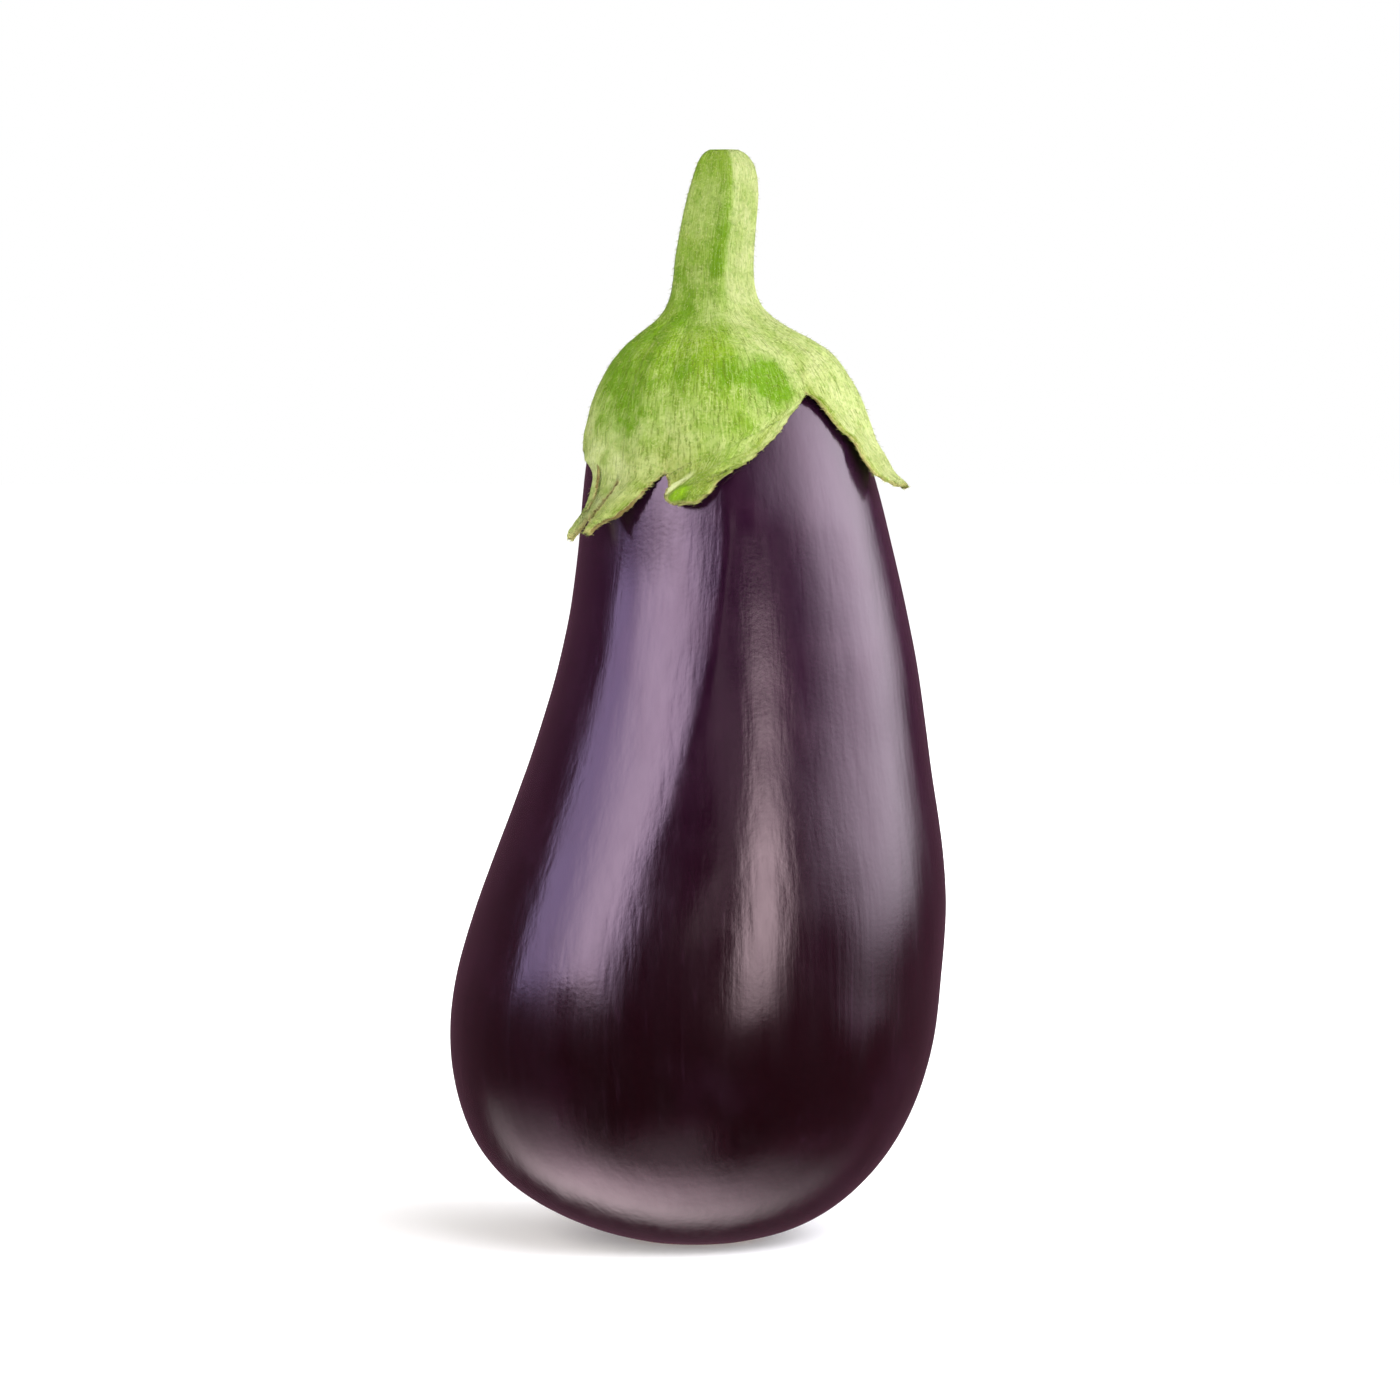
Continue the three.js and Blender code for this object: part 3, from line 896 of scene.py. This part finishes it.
# painted light: the deeper blotches thin out where the painted highlight falls
blotches = product(fade(mottle, 0.45, 0.75, 0, 0.45), fade(lit_side, 0, 1, 1, 0.25))
patchy = arithmetic("ADD", patchy, blotches)
patchy = arithmetic("ADD", patchy, product(puff, PUFF_FRESH))
colour = washes(GREEN, [
    (fade(rim, 1.0, 14.0, 0.7, 0), OLIVE),
    # the next wash paints the pale patches, partly felt and partly a painted highlight
    (product(pale, fade(mottle, 0.3, 0.7, 1.0, 0.4)), FELT_AND_HIGHLIGHT_PALE),
    # the next wash is a painted highlight on the side that faces the right-hand lamps
    (product(lit_side, fade(mottle, 0.3, 0.7, 1.0, 0.6)), LIT_SIDE_HIGHLIGHT),
    (patchy, GREEN_FRESH),
])
print("with its greens:", len(tree.nodes), "nodes")

# %% Fibres and felt
GREEN_PALE = (0.31, 0.365, 0.125)
STROKE_DARK = (0.07, 0.1, 0.005)

felt = product(fade(patchy, 0.2, 1.0, 1, 0.45), fade(felt_beds, 0.36, 0.64, 1.35, 0.45))
# fewer dark strokes in the pale patches, which are partly a painted highlight
calm = fade(pale, 0.2, 1.0, 1, 0.65)
colour = washes(colour, [
    (product(felt, fade(strands, 0.5, 0.66, 0, 0.5)), GREEN_PALE),
    (product(calm, fade(strands, 0.34, 0.48, 0.62, 0)), STROKE_DARK),
    (product(calm, fade(grain, 0.33, 0.53, 0.45, 0)), GREEN_FRESH),
    (product(felt, fade(flecks, 0.52, 0.7, 0, 0.5)), GREEN_PALE),
])
print("with its fibres:", len(tree.nodes), "nodes")

# %% Tips, rim and cut end
GREEN_TIP = (0.17, 0.31, 0.008)
# pale flap along the crease over the front tip, with a painted highlight on it
FLAP_PALE_AND_HIGHLIGHT = (0.5, 0.55, 0.27)
RIM_TAN = (0.34, 0.32, 0.12)
RIM_BROWN = (0.1, 0.055, 0.015)
PITH = (0.3, 0.37, 0.12)

dried = product(fade(rim, 0.1, 0.9, 1, 0), fade(grain, 0.3, 0.6, 0.35, 1))
browned = product(fade(rim, 0.0, 0.4, 0.75, 0), fade(mottle, 0.35, 0.6, 0.2, 1))
colour = washes(colour, [
    (fade(puff, 0.25, 0.8, 0, 0.85), GREEN_TIP),
    # the next wash paints the crease as a pale flap with a painted highlight
    (fade(puff, -0.7, -0.15, 0.9, 0), FLAP_PALE_AND_HIGHLIGHT),
    (dried, RIM_TAN),
    (browned, RIM_BROWN),
    (fade(dry, 0.6, 1.0, 0, 0.35), RIM_TAN),
    (cut, PITH),
])
set_sockets(shader, {"Base Color": colour})
print("with its rim:", len(tree.nodes), "nodes")

# %% Surface of the calyx
STRAND_RELIEF = 0.28 * MM
GRAIN_RELIEF = 0.5 * MM
FLECK_RELIEF = 0.12 * MM

set_sockets(shader, {
    "Roughness": fade(grain, 0.3, 0.7, 0.38, 0.58),
    "Normal": relief([(strands, STRAND_RELIEF), (grain, GRAIN_RELIEF), (flecks, FLECK_RELIEF)]),
    "Sheen Weight": 0.02,
    "Sheen Roughness": 0.45,
    "Sheen Tint": (0.95, 1.0, 0.75, 1),
    "Specular IOR Level": 0.06,
})
print("calyx nodes:", len(tree.nodes))

# %% [markdown]
# ## Fuzz
# Short stiff hairs cover the calyx, and show best along its rim and its outline. Blender's hair system would
# be quick to set up, but only real faces survive when a model is exported. Each hair is therefore a thin bent
# cone of three sides, and thousands of them go into one mesh. A seeded generator makes them the same again.

# %% Plant the hairs
HAIR_SEED = 11
FELT_HAIRS = 5200
RIM_HAIRS = 1500
FELT_LEAN = (0.55, 0.75)  # shares of away from the calyx and of down along the fibres
RIM_LEAN = 0.3  # share of away from the middle of the fruit
FRUIT_MIDDLE = (0, 0, 0.1)
HAIR_SCATTER = 0.3
HAIR_LENGTHS = (0.4, 1.1)  # mm

random_source = np.random.default_rng(HAIR_SEED)
all_columns = sum(outer["points"].shape[1] for outer in outer_sheets.values())
roots, leans = [], []
for outer in outer_sheets.values():
    sheet, away = outer["points"], outer["away"]
    share = sheet.shape[1] / all_columns
    down, aside = np.diff(sheet, axis=0)[:, :-1], np.diff(sheet, axis=1)[:-1]
    area = np.linalg.norm(np.cross(down, aside), axis=-1).ravel()
    cells = random_source.choice(area.size, round(FELT_HAIRS * share), p=area / area.sum())
    cells = np.unravel_index(cells, down.shape[:2])
    part_down, part_aside = random_source.random((2, len(cells[0]), 1))
    roots.append(sheet[cells] + part_down * down[cells] + part_aside * aside[cells])
    leans.append(FELT_LEAN[0] * away[cells] + FELT_LEAN[1] * unit(down[cells]))

    edge = rim_of(sheet[STEM_ROWS:])
    outwards = unit(edge - rim_of(sheet[STEM_ROWS:], inset=1))
    picks = random_source.integers(0, len(edge) - 1, round(RIM_HAIRS * share))
    roots.append(edge[picks] + random_source.random((len(picks), 1)) * (edge[picks + 1] - edge[picks]))
    leans.append(outwards[picks] + RIM_LEAN * unit(edge[picks] - FRUIT_MIDDLE))
roots, leans = np.concatenate(roots), np.concatenate(leans)
leans = unit(unit(leans) + random_source.normal(0, HAIR_SCATTER, leans.shape))
lengths = random_source.uniform(*HAIR_LENGTHS, (len(roots), 1)) * MM
print("hairs:", len(roots))

# %% Model the hairs
HAIR_RADIUS = 0.035 * MM
HAIR_FOOT = 0.1 * MM  # how deep a hair is rooted
HAIR_WAIST = 0.7  # radius half way up, as a share
HAIR_BEND = 0.35
ODD_DIRECTION = (0.31, 0.17, 0.93)  # hardly any hair points this way
HAIR_SIDES = [
    (0, 1, 4), (0, 4, 3), (1, 2, 5), (1, 5, 4), (2, 0, 3),
    (2, 3, 5), (3, 4, 6), (4, 5, 6), (5, 3, 6), (2, 1, 0),
]

sideways = unit(np.cross(leans, ODD_DIRECTION))
across_hair = np.cross(leans, sideways)
bent = unit(leans + random_source.normal(0, HAIR_BEND, leans.shape))
corners = [math.radians(turn) for turn in (0, 120, 240)]
ring = [HAIR_RADIUS * (math.cos(turn) * sideways + math.sin(turn) * across_hair) for turn in corners]
foot = [roots - HAIR_FOOT * leans + offset for offset in ring]
waist = [roots + 0.5 * lengths * leans + HAIR_WAIST * offset for offset in ring]
hair_tip = roots + lengths * (0.5 * leans + 0.5 * bent)
hair_points = np.stack(foot + waist + [hair_tip], axis=1)
hair_faces = hair_points.shape[1] * np.arange(len(roots))[:, None, None] + np.array(HAIR_SIDES)
fuzz_piece = make_piece("calyx_fuzz", hair_points.reshape(-1, 3), hair_faces.reshape(-1, 3))
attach(fuzz_piece, "root")

# %% Finish the hairs
FUZZ_GREEN = (0.2, 0.28, 0.03)
FUZZ_PALE = (0.4, 0.42, 0.12)

tree, shader, place = new_finish(fuzz_piece, "pale_fuzz")
colour = blend(fade(cloud(place, 2 * MM), 0.35, 0.65), FUZZ_GREEN, FUZZ_PALE)
set_sockets(shader, {"Base Color": colour, "Roughness": 0.55})

# %% [markdown]
# ## The floor
# The photograph shows the eggplant on plain white. A grey plane would show where it ends. So the floor is a
# wide pale disc that glows more towards its edge, until it is as white as the background. It catches a soft
# shadow, but the glossy skin doesn't mirror it.

# %% Lay the floor
FLOOR_RINGS = [0.0, 0.15, 0.3, 0.6, 1.2, 3.0, 6.0]  # metres
FLOOR_SIDES = 96

turns = np.linspace(0, 2 * np.pi, FLOOR_SIDES + 1)
floor_points = np.array([[(r * math.sin(t), r * math.cos(t), 0) for t in turns] for r in FLOOR_RINGS])
floor = make_piece("pale_floor", floor_points.reshape(-1, 3), grid_faces(len(FLOOR_RINGS), len(turns)))
floor.visible_glossy = False

tree, shader, place = new_finish(floor, "pale_floor")
set_sockets(shader, {
    "Base Color": (0.86, 0.86, 0.86, 1),
    "Roughness": 0.9,
    "Emission Color": (1, 1, 1, 1),
    "Emission Strength": fade(measure("LENGTH", place), 0.1, 0.9, 0.2, 1.0),
})

# %% [markdown]
# ## The surroundings
# A glossy dark skin mirrors all that surrounds it. A plain white background would turn it grey. So the
# background is white to the camera and nearly dark to reflections, apart from one long reflector low down
# behind the fruit, which lights up its lower edge.

# %% What the skin mirrors
MIRRORED_GREY = 0.04  # in front of the eggplant
MIRRORED_BACK = 0.16  # behind it
LOW_GLOW = 4.9  # the reflector, brightest at the left
FRONT_GLOW = 0.8  # its weak edge below the camera

world = bpy.data.worlds.new("white_studio")
scene.world = world
world.use_nodes = True
tree = world.node_tree
background = tree.nodes["Background"]
ray = tree.nodes.new("ShaderNodeLightPath")
to_right, to_back, to_top = split(tree.nodes.new("ShaderNodeTexCoord").outputs["Generated"])

from_left = product(fade(to_right, -1.0, -0.45), fade(to_right, -0.4, 0.85, LOW_GLOW, 0))
strip = product(from_left, fade(to_back, -0.5, 0.05), fade(to_back, 0.25, 0.66, 1, 0))
strip = product(strip, fade(to_top, -0.45, -0.2, 1, 0))
front = product(fade(to_top, -0.85, -0.55, FRONT_GLOW, 0), fade(to_right, -0.65, -0.25))
front = product(front, fade(to_right, 0.0, 0.35, 1, 0), fade(to_back, -0.4, 0.0, 1, 0))
grey = fade(to_back, -0.5, 0.8, MIRRORED_GREY, MIRRORED_BACK)
mirrored = arithmetic("ADD", grey, arithmetic("ADD", strip, front))
mirrored = product(mirrored, ray.outputs["Is Glossy Ray"])
print("mirrored part:", len(tree.nodes), "nodes")

# %% What the camera sees
SEEN_WHITE = 1.0
SOFT_FILL = 0.15
TINT_DARK = (1, 0.45, 0.65)  # of the mirrored grey
TINT_BRIGHT = (1, 0.85, 0.86)  # of the mirrored reflector

others = fade(ray.outputs["Is Camera Ray"], 0, 1, SOFT_FILL, SEEN_WHITE)
others = product(others, fade(ray.outputs["Is Glossy Ray"], 0, 1, 1, 0))
connect(background.inputs["Strength"], arithmetic("ADD", mirrored, others))
tint = blend(fade(mirrored, 0.15, 0.6), TINT_DARK, TINT_BRIGHT)
connect(background.inputs["Color"], blend(ray.outputs["Is Glossy Ray"], (1, 1, 1), tint))
print("white to the camera, dark to reflections except below")

# %% [markdown]
# ## Lights
# Long soft boxes make the highlights of the photograph: a wide one on the left, cool with a warm streak, a
# narrow warm one just right of the camera, and a wide one on the right. A curved surface mirrors a light that
# is twice as far round as its own normal, which tells us where each box stands. So a box is described by the
# range of directions that it fills, and by how bright it looks. A plain area light has hard edges, so the
# boxes fade towards theirs by nodes of their own. Some only make highlights and some only light the matte
# calyx, so that each can be set alone.

# %% Soft edges for a light
def soften(light, edges):
    """Lets a box fade towards its edges; edges are the shares that fade: left, right, low and high."""
    light.use_nodes = True
    tree = light.node_tree
    across, up, _ = split(tree.nodes.new("ShaderNodeNewGeometry").outputs["Parametric"])
    left, right, low, high = edges
    sideways = product(fade(across, 0, left), fade(across, 1 - right, 1, 1, 0))
    upright = product(fade(up, 0, low), fade(up, 1 - high, 1, 1, 0))
    connect(tree.nodes["Emission"].inputs["Strength"], product(sideways, upright))


print("a light's own nodes let it fade towards its edges")

# %% A soft box
LIGHT_AIM = Vector((0, 0, 0.09))


def soft_box(name, azimuths, elevations, brightness, colour, edges=None, away=1.6, roll=0,
             gloss=True, matte=True):
    """A rectangular light that fills a range of directions, in degrees, seen from the eggplant."""
    azimuth, elevation = math.radians(sum(azimuths) / 2), math.radians(sum(elevations) / 2)
    level = Vector((math.sin(azimuth), -math.cos(azimuth), 0))
    direction = math.cos(elevation) * level + Vector((0, 0, math.sin(elevation)))
    light = bpy.data.lights.new(name, "AREA")
    light.shape = "RECTANGLE"
    light.size = 2 * away * math.tan(math.radians(azimuths[1] - azimuths[0]) / 2)
    light.size_y = 2 * away * math.tan(math.radians(elevations[1] - elevations[0]) / 2)
    light.energy = brightness * math.pi * light.size * light.size_y
    light.color = colour
    if edges:
        soften(light, edges)
    lamp = bpy.data.objects.new(name, light)
    lamp.location = LIGHT_AIM + away * direction
    lamp.rotation_euler = direction.to_track_quat("Z", "Y").to_euler()
    lamp.rotation_euler.rotate_axis("Z", math.radians(roll))
    lamp.visible_camera = False
    lamp.visible_glossy = gloss
    lamp.visible_diffuse = matte
    scene.collection.objects.link(lamp)
    print(name, "at", [round(value, 2) for value in lamp.location], "watts", round(light.energy, 1))


print("boxes aim at a point", LIGHT_AIM.z / MM, "mm up")

# %% The set of lights
VIOLET = (0.69, 0.62, 1.0)
WARM = (1.0, 0.95, 0.87)
COOL = (0.95, 0.94, 1.0)
WHITE = (1.0, 1.0, 1.0)

soft_box("left_box", (-101, -35), (6, 55), 4.1, VIOLET, (0.12, 0.25, 0.12, 0.1), roll=2, matte=False)
soft_box("left_strip", (-83, -35), (6, 55), 5.4, WARM, (0.68, 0.4, 0.12, 0.1), roll=-6, matte=False)
soft_box("left_fill", (-104, -37), (7, 52), 3.2, WARM, gloss=False)
soft_box("right_box", (56, 132), (-11, 53), 6.6, COOL, (0.56, 0.45, 0.36, 0.6), roll=15)
soft_box("right_front_box", (37, 102), (3, 56), 3.4, COOL, (0.5, 0.4, 0.34, 0.4), roll=9)
soft_box("right_inner_box", (24, 64), (14, 44), 1.1, COOL, (0.4, 0.4, 0.35, 0.4), matte=False)
soft_box("upper_right_fill", (18, 84), (33, 62), 7.0, COOL, gloss=False)
soft_box("centre_box", (9, 38), (-16, 23), 8.8, WARM, (0.45, 0.52, 0.34, 0.33), away=0.2, roll=8,
         matte=False)
soft_box("centre_fill", (15, 37), (-5, 13), 9.5, WARM, away=0.7, gloss=False)
soft_box("faint_streak", (-17, 11), (12, 20), 1.1, WARM, (0.4, 0.3, 0.4, 0.4), roll=15, matte=False)
soft_box("top_box", (-30, 30), (70, 100), 1.5, WHITE, away=0.9)
